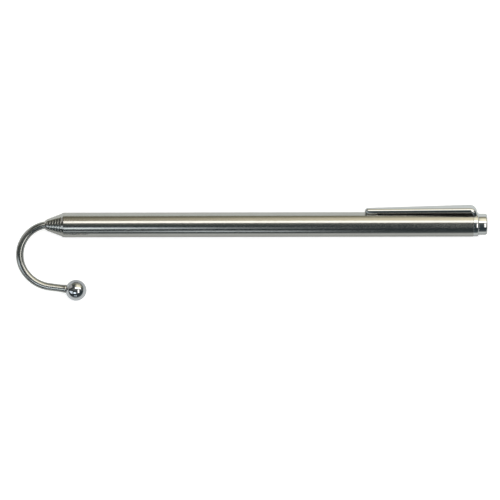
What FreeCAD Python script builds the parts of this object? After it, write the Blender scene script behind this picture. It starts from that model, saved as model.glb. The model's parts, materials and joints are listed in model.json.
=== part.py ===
import FreeCAD, Part
import math
import os
import Sketcher

# Telescoping magnetic pickup tool.
# The tool lies on its side. The origin is the centre of the tail cap's flat end. +X points out of
# the tail along the barrel's axis, the nose points along -X, the neck's hook curls towards -Y,
# and +Z is up. "Depth" below is the distance from the tail's end towards the nose.

DRIVING_SIZES = [
    # alias, value, meaning (millimetres and degrees)
    ("cap_length", 2.87, "tail cap: length of the head"),
    ("cap_diameter", 7.1, "tail cap: diameter of the head"),
    ("cap_rounding", 0.8, "tail cap: rounding of the outer edge"),
    ("stud_diameter", 4.0, "tail cap: diameter of the stud"),
    ("stud_gap", 0.4, "tail cap: gap between the stud's end and the bush's floor"),
    ("collar_length", 1.8, "clip collar: length along the axis"),
    ("collar_step", 0.07, "clip collar: how far it lies below the barrel's surface"),
    ("collar_rounding", 0.5, "clip collar: rounding of its rear edge"),
    ("bush_length", 5.0, "tail bush: length"),
    ("bush_floor", 1.0, "tail bush: thickness of its closed front"),
    ("barrel_length", 137.23, "barrel: length of the outer tube"),
    ("barrel_diameter", 8.3, "barrel: outer diameter"),
    ("barrel_wall", 0.45, "barrel: wall"),
    ("section_wall", 0.2, "inner sections: wall"),
    ("section_gap", 0.15, "inner sections: radial gap to the tube around each one"),
    ("section_reveal", 0.92, "inner sections: how far each closed nose stands out of the one before"),
    ("nose_taper", 0.7, "crimped noses: length of the taper outside"),
    ("nose_land", 0.3, "crimped noses: length of the guiding mouth"),
    ("nose_throat", 0.4, "crimped noses: length of the cone inside"),
    ("nose_lip", 0.12, "crimped noses: thickness of the lip at the mouth"),
    ("nose_rounding", 0.6, "crimped noses: rounding where the taper starts"),
    ("stop_gap", 0.1, "inner sections: gap between a closed section and its stop"),
    ("flare_length", 0.4, "inner sections: length of the flare at the rear end"),
    ("bead_length", 0.5, "inner sections: length of the bead in front of the sleeve"),
    ("bead_height", 0.1, "inner sections: height of that bead"),
    ("sleeve_length", 8.0, "friction sleeves: length"),
    ("sleeve_slit", 0.8, "friction sleeves: width of the slit"),
    ("slit_overcut", 1.0, "friction sleeves: how far the slit's cut runs past both ends"),
    ("running_fit", 0.03, "radial clearance of sleeves, flares and mouths"),
    ("seat_fit", 0.01, "radial clearance of pieces pressed or screwed together"),
    ("neck_diameter", 2.5, "neck: diameter of the rod"),
    ("neck_root", 8.0, "neck: length of the rod held inside the last section"),
    ("neck_bush", 6.0, "neck: length of the bush around that root"),
    ("neck_exit", 0.35, "neck: distance from the last nose to the first bend"),
    ("neck_links", 12.0, "neck: number of places where it bends"),
    ("neck_tail_links", 3.0, "neck: number of gentler links before the straight end"),
    ("link_pitch", 2.48, "neck: distance between bends round the hook"),
    ("tail_pitch", 2.81, "neck: distance between bends where the hook opens"),
    ("straight_end", 10.43, "neck: distance from the last bend to the ball's centre"),
    ("first_bend", 18.9, "neck: turn at the first bend"),
    ("each_bend", 13.96, "neck: turn at every other bend"),
    ("link_fit", 0.03, "neck: clearance between a link's round end and the next link's socket"),
    ("flare_diameter", 2.85, "neck: diameter of the cup that holds the ball"),
    ("cup_length", 2.4, "neck: length over which the cup opens"),
    ("peg_diameter", 1.6, "neck: diameter of the peg inside the ball"),
    ("peg_depth", 2.0, "neck: depth of the peg below the ball's surface"),
    ("peg_gap", 0.05, "magnet ball: gap between the peg's end and the floor of its hole"),
    ("ball_diameter", 7.0, "magnet ball: diameter"),
    ("clip_angle", 25.0, "clip: how far it is turned up from the horizontal"),
    ("clip_reach", 40.8, "clip: depth of the tip"),
    ("clip_rise", 2.4, "clip: height of its back above the barrel where it is bent"),
    ("clip_tip_rise", 1.75, "clip: height of its back above the barrel at the tip"),
    ("clip_width", 4.2, "clip: width where it is bent"),
    ("clip_tip_width", 2.3, "clip: width at the tip"),
    ("clip_tip_shape", 0.8, "clip: rounding of the tip's corners as a share of half its width"),
    ("clip_depth", 1.35, "clip: depth of its folded sides"),
    ("clip_sheet", 0.4, "clip: thickness of the sheet"),
    ("clip_bend", 2.4, "clip: outer radius of the bend at the root"),
    ("clip_back", 0.5, "clip: distance from the cap to the clip's rear face"),
    ("pad_length", 3.2, "clip: length of the pad under the tip"),
    ("pad_ramp", 0.9, "clip: length of the ramp up from the pad"),
    ("pad_gap", 0.05, "clip: gap between the pad and the barrel"),
    ("tip_rounding", 0.7, "clip: rounding of the tip, seen from the side"),
    ("tab_width", 2.4, "clip: width of the tab that enters the collar"),
    ("tab_depth", 0.75, "clip: depth of that tab below the collar's surface"),
    ("tab_swing", 0.09, "clip: room behind the tab for the clip to flex"),
]

DOC = FreeCAD.newDocument("MagneticPickupTool")
NODES = []


def make_sheet():
    """Writes the driving sizes to the spreadsheet, one row each, and names each value's cell."""
    sheet = DOC.addObject("Spreadsheet::Sheet", "Sizes")
    for row, (alias, number, meaning) in enumerate(DRIVING_SIZES, start=1):
        sheet.set(f"A{row}", meaning)
        sheet.set(f"B{row}", str(number))
        sheet.setAlias(f"B{row}", alias)
    DOC.recompute()
    return sheet


SHEET = make_sheet()


def value(expression):
    """The number that an expression on the sheet comes to."""
    return float(SHEET.evalExpression(expression))


def keep(piece, label):
    """Names a finished sub-part and adds it to the nodes that are written."""
    piece.Label = label
    NODES.append(piece)
    return piece


def bind(piece, **expressions):
    """Binds properties of an object to expressions on the sheet."""
    for name, expression in expressions.items():
        piece.setExpression(name.replace("__", "."), expression)


# ---------------------------------------------------------------- sketches


def fix_point(sketch, kind, side, end, expression):
    """Ties one coordinate of a side's end to an expression, or to an axis where it is zero."""
    number = value(expression)
    if abs(number) < 1e-9:
        axis = -2 if kind == "DistanceX" else -1
        sketch.addConstraint(Sketcher.Constraint("PointOnObject", side, end, axis))
        return
    index = sketch.addConstraint(Sketcher.Constraint(kind, -1, 1, side, end, number))
    sketch.setExpression(f"Constraints[{index}]", expression)


def arc_through(start, end, centre, turns_left):
    """An arc from start to end about centre, anticlockwise where turns_left."""
    first, last = (start, end) if turns_left else (end, start)
    low = math.atan2(first.y - centre.y, first.x - centre.x)
    high = math.atan2(last.y - centre.y, last.x - centre.x)
    circle = Part.Circle(centre, FreeCAD.Vector(0, 0, 1), (start - centre).Length)
    return Part.ArcOfCircle(circle, low, high if high > low else high + 2 * math.pi)


def draw_outline(sketch, corners, arcs=None):
    """Draws a closed outline through corners.

    A corner is (x, y) or (x, y, free), where free names the coordinate that an arc already sets.
    arcs gives, for the side that leaves a corner, (centre x, centre y, turns_left).
    """
    arcs = arcs or {}
    points = [FreeCAD.Vector(value(corner[0]), value(corner[1]), 0) for corner in corners]
    count = len(corners)
    for side in range(count):
        start, end = points[side], points[(side + 1) % count]
        if side in arcs:
            centre_x, centre_y, turns_left = arcs[side]
            centre = FreeCAD.Vector(value(centre_x), value(centre_y), 0)
            sketch.addGeometry(arc_through(start, end, centre, turns_left))
        else:
            sketch.addGeometry(Part.LineSegment(start, end))

    def first_end(side):
        return 2 if side in arcs and not arcs[side][2] else 1

    for side in range(count):
        follower = (side + 1) % count
        joined = (side, 3 - first_end(side), follower, first_end(follower))
        sketch.addConstraint(Sketcher.Constraint("Coincident", *joined))
    for side, (centre_x, centre_y, turns_left) in arcs.items():
        fix_point(sketch, "DistanceX", side, 3, centre_x)
        fix_point(sketch, "DistanceY", side, 3, centre_y)
    for side, corner in enumerate(corners):
        free = corner[2] if len(corner) > 2 else None
        if free != "x":
            fix_point(sketch, "DistanceX", side, first_end(side), corner[0])
        if free != "y":
            fix_point(sketch, "DistanceY", side, first_end(side), corner[1])


def body_plane(body, role):
    """One of a body's own origin planes, by its role."""
    return next(plane for plane in body.Origin.OriginFeatures if plane.Role == role)


def body_sketch(body, name, role="XY_Plane"):
    """A sketch on one of a body's origin planes."""
    sketch = body.newObject("Sketcher::SketchObject", name)
    sketch.AttachmentSupport = (body_plane(body, role), [""])
    sketch.MapMode = "FlatFace"
    return sketch


def turned_body(name, corners, arcs=None):
    """A body turned about its own X axis from an outline of (along, radius) corners."""
    body = DOC.addObject("PartDesign::Body", name)
    sketch = body_sketch(body, f"{name}_profile")
    draw_outline(sketch, corners, arcs)
    turning = body.newObject("PartDesign::Revolution", f"{name}_turning")
    turning.Profile = sketch
    turning.ReferenceAxis = (sketch, ["H_Axis"])
    turning.Angle = 360
    DOC.recompute()
    return body


def round_edges(body, name, places, radius):
    """Rounds the circular edges at places, each (along, radius) as expressions."""
    turned = body.Tip
    wanted = [(value(along), value(ring)) for along, ring in places]
    names = []
    for index, edge in enumerate(turned.Shape.Edges, start=1):
        if not isinstance(edge.Curve, Part.Circle):
            continue
        along, ring = edge.Curve.Center.x, edge.Curve.Radius
        if any(abs(along - a) < 1e-4 and abs(ring - r) < 1e-4 for a, r in wanted):
            names.append(f"Edge{index}")
    if not names:
        raise RuntimeError(f"{name}: no edge to round")
    rounding = body.newObject("PartDesign::Fillet", name)
    rounding.Base = (turned, names)
    bind(rounding, Radius=radius)
    DOC.recompute()


def cut_upwards(body, name, corners, floor):
    """Cuts an outline drawn on the XY plane out of a body, from the height floor upwards."""
    before = body.Shape.Volume
    sketch = body_sketch(body, f"{name}_outline")
    bind(sketch, AttachmentOffset__Base__z=floor)
    draw_outline(sketch, corners)
    cut = body.newObject("PartDesign::Pocket", name)
    cut.Profile = sketch
    cut.Type = "ThroughAll"
    cut.Reversed = True
    DOC.recompute()
    if not body.Shape.Volume < before - 1e-6:
        raise RuntimeError(f"{name}: the cut removed nothing")


def rectangle(left, right, half_width):
    """The corners of a rectangle between two places along X, centred across."""
    return [
        (left, f"-({half_width})"),
        (right, f"-({half_width})"),
        (right, half_width),
        (left, half_width),
    ]


# ---------------------------------------------------------------- sizes that follow from others

BARREL_REAR = "(Sizes.cap_length + Sizes.collar_length)"
BARREL_RADIUS = "(Sizes.barrel_diameter / 2)"
BUSH_FRONT = f"({BARREL_REAR} + Sizes.bush_length)"
BUSH_FLOOR = f"({BUSH_FRONT} - Sizes.bush_floor)"
SECTION_REAR = f"({BUSH_FRONT} + Sizes.stop_gap)"
NECK_RADIUS = "(Sizes.neck_diameter / 2)"
BALL_RADIUS = "(Sizes.ball_diameter / 2)"
STUD_RADIUS = "(Sizes.stud_diameter / 2)"
COLLAR_RADIUS = f"({BARREL_RADIUS} - Sizes.collar_step)"
SECTION_COUNT = 6
LAST_TUBE = SECTION_COUNT + 1


def tube_radius(tube):
    """Outer radius of tube 1, the barrel, or of a section, tubes 2 to 7."""
    if tube == 1:
        return BARREL_RADIUS
    walls = f"{tube - 2} * Sizes.section_wall"
    gaps = f"{tube - 1} * Sizes.section_gap"
    return f"({BARREL_RADIUS} - Sizes.barrel_wall - {gaps} - {walls})"


def tube_bore(tube):
    """Inner radius of a tube behind its crimped nose."""
    wall = "Sizes.barrel_wall" if tube == 1 else "Sizes.section_wall"
    return f"({tube_radius(tube)} - {wall})"


def nose_depth(tube):
    """Depth of a tube's front end with the tool closed."""
    return f"({BARREL_REAR} + Sizes.barrel_length + {tube - 1} * Sizes.section_reveal)"


def mouth_radius(tube):
    """Inner radius of a tube's crimped mouth, which guides the next section or holds the neck."""
    inner = NECK_RADIUS if tube == LAST_TUBE else tube_radius(tube + 1)
    return f"({inner} + Sizes.running_fit)"


def along(depth):
    """The X coordinate of a depth below the tail's end."""
    return f"-({depth})"


def nose_corners(tube):
    """Corners of a crimped nose, from the tube's outer surface round its mouth to its bore."""
    front = nose_depth(tube)
    mouth = mouth_radius(tube)
    return [
        (along(f"{front} - Sizes.nose_taper"), tube_radius(tube)),
        (along(front), f"{mouth} + Sizes.nose_lip"),
        (along(front), mouth),
        (along(f"{front} - Sizes.nose_land"), mouth),
        (along(f"{front} - Sizes.nose_land - Sizes.nose_throat"), tube_bore(tube)),
    ]


def round_nose(body, tube):
    """Rounds the corner where a nose starts to taper."""
    start = along(f"{nose_depth(tube)} - Sizes.nose_taper")
    round_edges(body, f"tube_{tube}_nose_rounding", [(start, tube_radius(tube))], "Sizes.nose_rounding")


# ---------------------------------------------------------------- barrel and tail


def make_outer_tube():
    """The barrel: a plain tube, open at the rear, crimped round the first section at the nose."""
    corners = [(along(BARREL_REAR), tube_bore(1)), (along(BARREL_REAR), tube_radius(1))]
    body = turned_body("outer_tube", corners + nose_corners(1))
    round_nose(body, 1)
    keep(body, "outer_tube")


def make_tail_bush():
    """The blind threaded bush pressed into the barrel's rear. The closed sections stop against it."""
    outside = f"{tube_bore(1)} - Sizes.seat_fit"
    inside = f"{STUD_RADIUS} + Sizes.seat_fit"
    body = turned_body(
        "tail_bush",
        [
            (along(BARREL_REAR), inside),
            (along(BARREL_REAR), outside),
            (along(BUSH_FRONT), outside),
            (along(BUSH_FRONT), "0"),
            (along(BUSH_FLOOR), "0"),
            (along(BUSH_FLOOR), inside),
        ],
    )
    keep(body, "tail_bush")


def make_end_cap():
    """The tail cap: a flat round head on a stud that screws through the collar into the bush."""
    stud_end = f"{BUSH_FLOOR} - Sizes.stud_gap"
    head_radius = "Sizes.cap_diameter / 2"
    body = turned_body(
        "end_cap",
        [
            ("0", "0"),
            ("0", head_radius),
            (along("Sizes.cap_length"), head_radius),
            (along("Sizes.cap_length"), STUD_RADIUS),
            (along(stud_end), STUD_RADIUS),
            (along(stud_end), "0"),
        ],
    )
    round_edges(body, "end_cap_rounding", [("0", head_radius)], "Sizes.cap_rounding")
    keep(body, "end_cap")


# The clip and its collar are drawn with the clip standing up along Z, then turned about X.
CLIP_REAR = "(Sizes.cap_length + Sizes.clip_back)"
CLIP_FRONT = f"({CLIP_REAR} + Sizes.clip_sheet)"
CLIP_HEIGHT = f"({BARREL_RADIUS} + Sizes.clip_rise)"
CLIP_TIP_HEIGHT = f"({BARREL_RADIUS} + Sizes.clip_tip_rise)"
TAB_FOOT = f"({COLLAR_RADIUS} - Sizes.tab_depth)"


def turn_to_clip(piece):
    """Turns a piece drawn with the clip along Z to the clip's own angle."""
    piece.Placement = FreeCAD.Placement(FreeCAD.Vector(), FreeCAD.Rotation(FreeCAD.Vector(1, 0, 0), -90))
    bind(piece, Placement__Rotation__Angle="Sizes.clip_angle - 90")


def make_clip_collar():
    """The ring between the barrel and the cap, slotted for the clip's tab."""
    inside = f"{STUD_RADIUS} + Sizes.seat_fit"
    body = turned_body(
        "clip_collar",
        [
            (along("Sizes.cap_length"), inside),
            (along("Sizes.cap_length"), COLLAR_RADIUS),
            (along(BARREL_REAR), COLLAR_RADIUS),
            (along(BARREL_REAR), inside),
        ],
    )
    edge = [(along("Sizes.cap_length"), COLLAR_RADIUS)]
    round_edges(body, "clip_collar_rounding", edge, "Sizes.collar_rounding")
    slot = rectangle(
        along(f"{CLIP_FRONT} + Sizes.running_fit"),
        along(f"{CLIP_REAR} - Sizes.tab_swing"),
        "Sizes.tab_width / 2 + Sizes.running_fit",
    )
    cut_upwards(body, "clip_collar_slot", slot, f"{TAB_FOOT} - Sizes.running_fit")
    turn_to_clip(body)
    keep(body, "clip_collar")


# ---------------------------------------------------------------- telescoping sections


def sleeve_front(tube):
    """Depth of the front end of a section's friction sleeve with the tool closed."""
    return f"({SECTION_REAR} + Sizes.flare_length + Sizes.running_fit + Sizes.sleeve_length)"


def make_section(tube):
    """An inner section: flared at the rear, beaded in front of its sleeve, crimped at the nose."""
    skin = tube_radius(tube)
    flare = f"{tube_bore(tube - 1)} - Sizes.running_fit"
    bead_rear = f"{sleeve_front(tube)} + Sizes.running_fit"
    rear = [
        (along(SECTION_REAR), tube_bore(tube)),
        (along(SECTION_REAR), flare),
        (along(f"{SECTION_REAR} + Sizes.flare_length"), flare),
        (along(f"{SECTION_REAR} + Sizes.flare_length"), skin),
        (along(bead_rear), skin),
        (along(f"{bead_rear} + Sizes.bead_length / 2"), f"{skin} + Sizes.bead_height"),
        (along(f"{bead_rear} + Sizes.bead_length"), skin),
    ]
    body = turned_body(f"section_tube_{tube}", rear + nose_corners(tube))
    round_nose(body, tube)
    keep(body, f"section_tube_{tube}")


def make_friction_sleeve(tube):
    """The split spring sleeve round a section's rear end, which grips the tube around it."""
    inside = f"{tube_radius(tube)} + Sizes.running_fit"
    outside = f"{tube_bore(tube - 1)} - Sizes.running_fit"
    rear = f"{SECTION_REAR} + Sizes.flare_length + Sizes.running_fit"
    front = sleeve_front(tube)
    body = turned_body(
        f"friction_sleeve_{tube}",
        [
            (along(rear), inside),
            (along(rear), outside),
            (along(front), outside),
            (along(front), inside),
        ],
    )
    slit_front = along(f"{front} + Sizes.slit_overcut")
    slit_rear = along(f"{rear} - Sizes.slit_overcut")
    slit = rectangle(slit_front, slit_rear, "Sizes.sleeve_slit / 2")
    cut_upwards(body, f"friction_sleeve_{tube}_slit", slit, "0")
    keep(body, f"friction_sleeve_{tube}")


# ---------------------------------------------------------------- neck and magnet

SOCKET_RADIUS = f"({NECK_RADIUS} + Sizes.link_fit)"
SOCKET_RIM = f"sqrt({SOCKET_RADIUS} ^ 2 - {NECK_RADIUS} ^ 2)"


def neck_bends():
    """Each bend of the neck as (x, y, heading after it) in the hook's own plane, with y towards +Y.

    The heading is in degrees from +X. The rod leaves the nose along -X and turns towards -Y.
    """
    links = round(value("Sizes.neck_links"))
    gentle = round(value("Sizes.neck_tail_links"))
    x = -value(f"{nose_depth(LAST_TUBE)} + Sizes.neck_exit")
    y = 0.0
    heading = 180 + value("Sizes.first_bend")
    bends = [(x, y, heading)]
    for link in range(1, links):
        pitch = value("Sizes.tail_pitch" if link >= links - gentle else "Sizes.link_pitch")
        x += pitch * math.cos(math.radians(heading))
        y += pitch * math.sin(math.radians(heading))
        heading += value("Sizes.each_bend")
        bends.append((x, y, heading))
    return bends


def hook_lean(bends):
    """The small turn about X, in degrees, that lays both the barrel and the ball on one surface."""
    x, y, heading = bends[-1]
    ball_y = y + value("Sizes.straight_end") * math.sin(math.radians(heading))
    lower = value(BARREL_RADIUS) - value(BALL_RADIUS)
    return math.degrees(math.asin(lower / abs(ball_y)))


def at_bend(piece, x, y, heading, lean):
    """Places a piece drawn along +X from a bend, in the hook's leaning plane."""
    leaning = FreeCAD.Placement(FreeCAD.Vector(), FreeCAD.Rotation(FreeCAD.Vector(1, 0, 0), lean))
    turning = FreeCAD.Rotation(FreeCAD.Vector(0, 0, 1), heading)
    piece.Placement = leaning * FreeCAD.Placement(FreeCAD.Vector(x, y, 0), turning)


def socket_corners():
    """The hollow rear end of a link, a part of a sphere about the bend it starts at."""
    return [(SOCKET_RADIUS, "0"), (SOCKET_RIM, NECK_RADIUS, "x")]


def make_neck_root(bend, lean):
    """The stretch of the rod inside the last section, ending in a half ball about the first bend."""
    body = turned_body(
        "neck_root",
        [
            ("-Sizes.neck_root", "0"),
            ("-Sizes.neck_root", NECK_RADIUS),
            ("0", NECK_RADIUS),
            (NECK_RADIUS, "0", "x"),
        ],
        {2: ("0", "0", False)},
    )
    x, y, heading = bend
    at_bend(body, x, y, heading - value("Sizes.first_bend"), lean)
    keep(body, "neck_root")


def make_neck_bush():
    """The bush that fills the last section round the neck's root, behind the crimp."""
    front = f"({nose_depth(LAST_TUBE)} - Sizes.nose_land - Sizes.nose_throat)"
    rear = f"({front} - Sizes.neck_bush)"
    inside = f"{NECK_RADIUS} + Sizes.seat_fit"
    outside = f"{tube_bore(LAST_TUBE)} - Sizes.seat_fit"
    body = turned_body(
        "neck_bush",
        [
            (along(rear), inside),
            (along(rear), outside),
            (along(front), outside),
            (along(front), inside),
        ],
    )
    keep(body, "neck_bush")


def make_neck_link(number, pitch, bend, lean):
    """One short stretch of the neck, with a socket at its rear and a half ball at its front."""
    name = f"neck_link_{number:02d}"
    body = turned_body(
        name,
        socket_corners() + [(pitch, NECK_RADIUS), (f"{pitch} + {NECK_RADIUS}", "0", "x")],
        {0: ("0", "0", True), 2: (pitch, "0", False)},
    )
    at_bend(body, *bend, lean)
    keep(body, name)


def make_neck_tip(bend, lean):
    """The neck's straight end. It opens into a cup against the ball, with a peg inside the ball."""
    cup_radius = "(Sizes.flare_diameter / 2)"
    peg_radius = "(Sizes.peg_diameter / 2)"
    seat_radius = f"({BALL_RADIUS} + Sizes.seat_fit)"
    cup_edge = f"(Sizes.straight_end - sqrt({seat_radius} ^ 2 - {cup_radius} ^ 2))"
    cup_floor = f"(Sizes.straight_end - sqrt({seat_radius} ^ 2 - {peg_radius} ^ 2))"
    peg_end = f"(Sizes.straight_end - {BALL_RADIUS} + Sizes.peg_depth)"
    corners = socket_corners() + [
        (f"{cup_edge} - Sizes.cup_length", NECK_RADIUS),
        (cup_edge, cup_radius, "x"),
        (cup_floor, peg_radius),
        (peg_end, peg_radius),
        (peg_end, "0"),
    ]
    body = turned_body(
        "neck_tip",
        corners,
        {0: ("0", "0", True), 3: ("Sizes.straight_end", "0", True)},
    )
    at_bend(body, *bend, lean)
    keep(body, "neck_tip")


def make_magnet_ball(bend, lean):
    """The plated ball magnet, with a blind hole for the neck's peg."""
    hole_radius = "(Sizes.peg_diameter / 2 + Sizes.seat_fit)"
    mouth = f"(Sizes.straight_end - sqrt({BALL_RADIUS} ^ 2 - {hole_radius} ^ 2))"
    floor = f"(Sizes.straight_end - {BALL_RADIUS} + Sizes.peg_depth + Sizes.peg_gap)"
    body = turned_body(
        "magnet_ball",
        [
            (floor, "0"),
            (floor, hole_radius),
            (mouth, hole_radius, "x"),
            (f"Sizes.straight_end + {BALL_RADIUS}", "0"),
        ],
        {2: ("Sizes.straight_end", "0", False)},
    )
    at_bend(body, *bend, lean)
    keep(body, "magnet_ball")


def make_neck():
    """The bendable neck: a root, links that bend as they are coupled, and the tip with its ball."""
    bends = neck_bends()
    lean = hook_lean(bends)
    gentle = round(value("Sizes.neck_tail_links"))
    make_neck_bush()
    make_neck_root(bends[0], lean)
    for number, bend in enumerate(bends[:-1], start=1):
        pitch = "Sizes.tail_pitch" if number >= len(bends) - gentle else "Sizes.link_pitch"
        make_neck_link(number, pitch, bend, lean)
    make_neck_tip(bends[-1], lean)
    make_magnet_ball(bends[-1], lean)
    return bends, lean


# ---------------------------------------------------------------- pocket clip


def free_sketch(name, upright):
    """A sketch outside any body, on the XY plane or upright on the XZ plane."""
    sketch = DOC.addObject("Sketcher::SketchObject", name)
    if upright:
        turn = FreeCAD.Rotation(FreeCAD.Vector(1, 0, 0), 90)
        sketch.Placement = FreeCAD.Placement(FreeCAD.Vector(), turn)
    return sketch


def extruded(name, sketch, length, both_ways):
    """A solid extruded from a sketch along the sketch's own normal."""
    solid = DOC.addObject("Part::Extrusion", name)
    solid.Base = sketch
    solid.DirMode = "Normal"
    solid.Solid = True
    solid.Symmetric = both_ways
    bind(solid, LengthFwd=length)
    return solid


def clip_side(name, inset, open_below):
    """The clip seen from the side, as a solid wider than the clip.

    inset moves the back, the bend and the tip inwards by a wall. open_below carries the outline down
    past the folded sides, so that it hollows the channel out.
    """
    bend_x = f"-({CLIP_REAR} + Sizes.clip_bend)"
    bend_z = f"({CLIP_HEIGHT} - Sizes.clip_bend)"
    radius = f"(Sizes.clip_bend - {inset})"
    tip_x = f"(-Sizes.clip_reach + {inset})"
    back_z = f"({CLIP_HEIGHT} - {inset})"
    tip_back_z = f"({CLIP_TIP_HEIGHT} - {inset})"
    rounding = f"(Sizes.tip_rounding - {inset} / 2)"
    pad_z = f"({BARREL_RADIUS} + Sizes.pad_gap)"
    sketch = free_sketch(f"{name}_outline", True)
    corners = [
        (f"{bend_x} + {radius}", bend_z),
        (bend_x, back_z, "y"),
        (f"{tip_x} + {rounding}", tip_back_z),
        (tip_x, f"{tip_back_z} - {rounding}", "x"),
    ]
    arcs = {
        0: (bend_x, bend_z, True),
        2: (f"{tip_x} + {rounding}", f"{tip_back_z} - {rounding}", True),
    }
    if open_below:
        corners += [(tip_x, "0"), (f"{bend_x} + {radius}", "0")]
    else:
        inner_radius = "(Sizes.clip_bend - Sizes.clip_depth)"
        ramp_foot = f"({tip_x} + Sizes.tip_rounding / 2 + Sizes.pad_length)"
        corners += [
            (tip_x, f"{pad_z} + Sizes.tip_rounding / 2"),
            (f"{tip_x} + Sizes.tip_rounding / 2", pad_z),
            (ramp_foot, pad_z),
            (f"{ramp_foot} + Sizes.pad_ramp", f"{CLIP_TIP_HEIGHT} - Sizes.clip_depth"),
            (bend_x, f"{bend_z} + {inner_radius}"),
            (f"{bend_x} + {inner_radius}", bend_z, "x"),
        ]
        arcs[8] = (bend_x, bend_z, False)
    draw_outline(sketch, corners, arcs)
    return extruded(name, sketch, "2 * Sizes.clip_width", True)


def clip_plan(name, inset):
    """The clip seen from above its back, as a solid taller than the clip, with a rounded tip."""
    tip_half = f"(Sizes.clip_tip_width / 2 - {inset})"
    root_half = f"(Sizes.clip_width / 2 - {inset})"
    rounding = f"({tip_half} * Sizes.clip_tip_shape)"
    tip_x = f"(-Sizes.clip_reach + {inset})"
    rear_x = along(CLIP_REAR)
    sketch = free_sketch(f"{name}_outline", False)
    corners = [
        (rear_x, f"-{root_half}"),
        (rear_x, root_half),
        (f"{tip_x} + {rounding}", tip_half),
        (tip_x, f"{tip_half} - {rounding}", "x"),
        (tip_x, f"-({tip_half} - {rounding})"),
        (f"{tip_x} + {rounding}", f"-{tip_half}", "y"),
    ]
    arcs = {
        2: (f"{tip_x} + {rounding}", f"{tip_half} - {rounding}", True),
        4: (f"{tip_x} + {rounding}", f"-({tip_half} - {rounding})", True),
    }
    draw_outline(sketch, corners, arcs)
    return extruded(name, sketch, f"2 * {CLIP_HEIGHT}", False)


def make_clip():
    """The pocket clip: one pressed channel, bent down at the root into a tab that enters the collar."""
    outer = DOC.addObject("Part::Common", "clip_outer")
    outer.Base = clip_side("clip_outer_side", "0", False)
    outer.Tool = clip_plan("clip_outer_plan", "0")
    hollow = DOC.addObject("Part::Common", "clip_hollow")
    hollow.Base = clip_side("clip_inner_side", "Sizes.clip_sheet", True)
    hollow.Tool = clip_plan("clip_inner_plan", "Sizes.clip_sheet")
    channel = DOC.addObject("Part::Cut", "clip_channel")
    channel.Base = outer
    channel.Tool = hollow
    tab = DOC.addObject("Part::Box", "clip_tab")
    tab.Placement = FreeCAD.Placement()
    bind(
        tab,
        Length="Sizes.clip_sheet",
        Width="Sizes.tab_width",
        Height=f"{CLIP_HEIGHT} - Sizes.clip_bend - {TAB_FOOT} + Sizes.clip_sheet",
        Placement__Base__x=along(CLIP_FRONT),
        Placement__Base__y="-Sizes.tab_width / 2",
        Placement__Base__z=TAB_FOOT,
    )
    clip = DOC.addObject("Part::Fuse", "pocket_clip")
    clip.Base = channel
    clip.Tool = tab
    DOC.recompute()
    turn_to_clip(clip)
    keep(clip, "pocket_clip")


# ---------------------------------------------------------------- the whole tool


def make_tool():
    make_outer_tube()
    make_tail_bush()
    make_end_cap()
    make_clip_collar()
    make_clip()
    for tube in range(2, LAST_TUBE + 1):
        make_section(tube)
        make_friction_sleeve(tube)
    return make_neck()


def check_model():
    """Stops if an object failed or a sub-part has no valid solid."""
    for piece in DOC.Objects:
        if "Invalid" in piece.State or "Error" in piece.State:
            raise RuntimeError(f"{piece.Name}: {piece.State}")
        if piece.TypeId == "Sketcher::SketchObject" and not piece.FullyConstrained:
            raise RuntimeError(f"{piece.Name}: not fully constrained")
    for piece in NODES:
        shape = piece.Shape
        if shape.isNull() or not shape.isValid() or not shape.Solids:
            raise RuntimeError(f"{piece.Label}: no valid solid")


def write_parts():
    os.makedirs("parts", exist_ok=True)
    for piece in NODES:
        piece.Shape.exportStep(f"parts/{piece.Label}.step")
        box = piece.Shape.BoundBox
        print(f"{piece.Label:20s} {piece.Shape.Volume:9.3f} mm3  x {box.XMin:8.2f} {box.XMax:8.2f}")


BENDS, LEAN = make_tool()
DOC.recompute()
check_model()
write_parts()
print("hook lean", round(LEAN, 4))
for bend in BENDS:
    print("bend at x %.4f y %.4f heading %.2f" % bend)
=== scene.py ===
# %% [markdown]
# # A telescoping magnetic pickup tool
# The tool is a pen-sized steel tube with six thinner tubes inside it, a pocket clip at the tail and
# a bendable rod at the nose that carries a ball magnet. Nearly every surface of it is bare metal, so
# the picture is made of reflections. The shapes are therefore turned and bent as smoothly as the
# real ones are, and the room around the tool is built with as much care as the tool.

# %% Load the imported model
import json
import math
import bmesh
import bpy
from mathutils import Matrix, Vector

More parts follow.
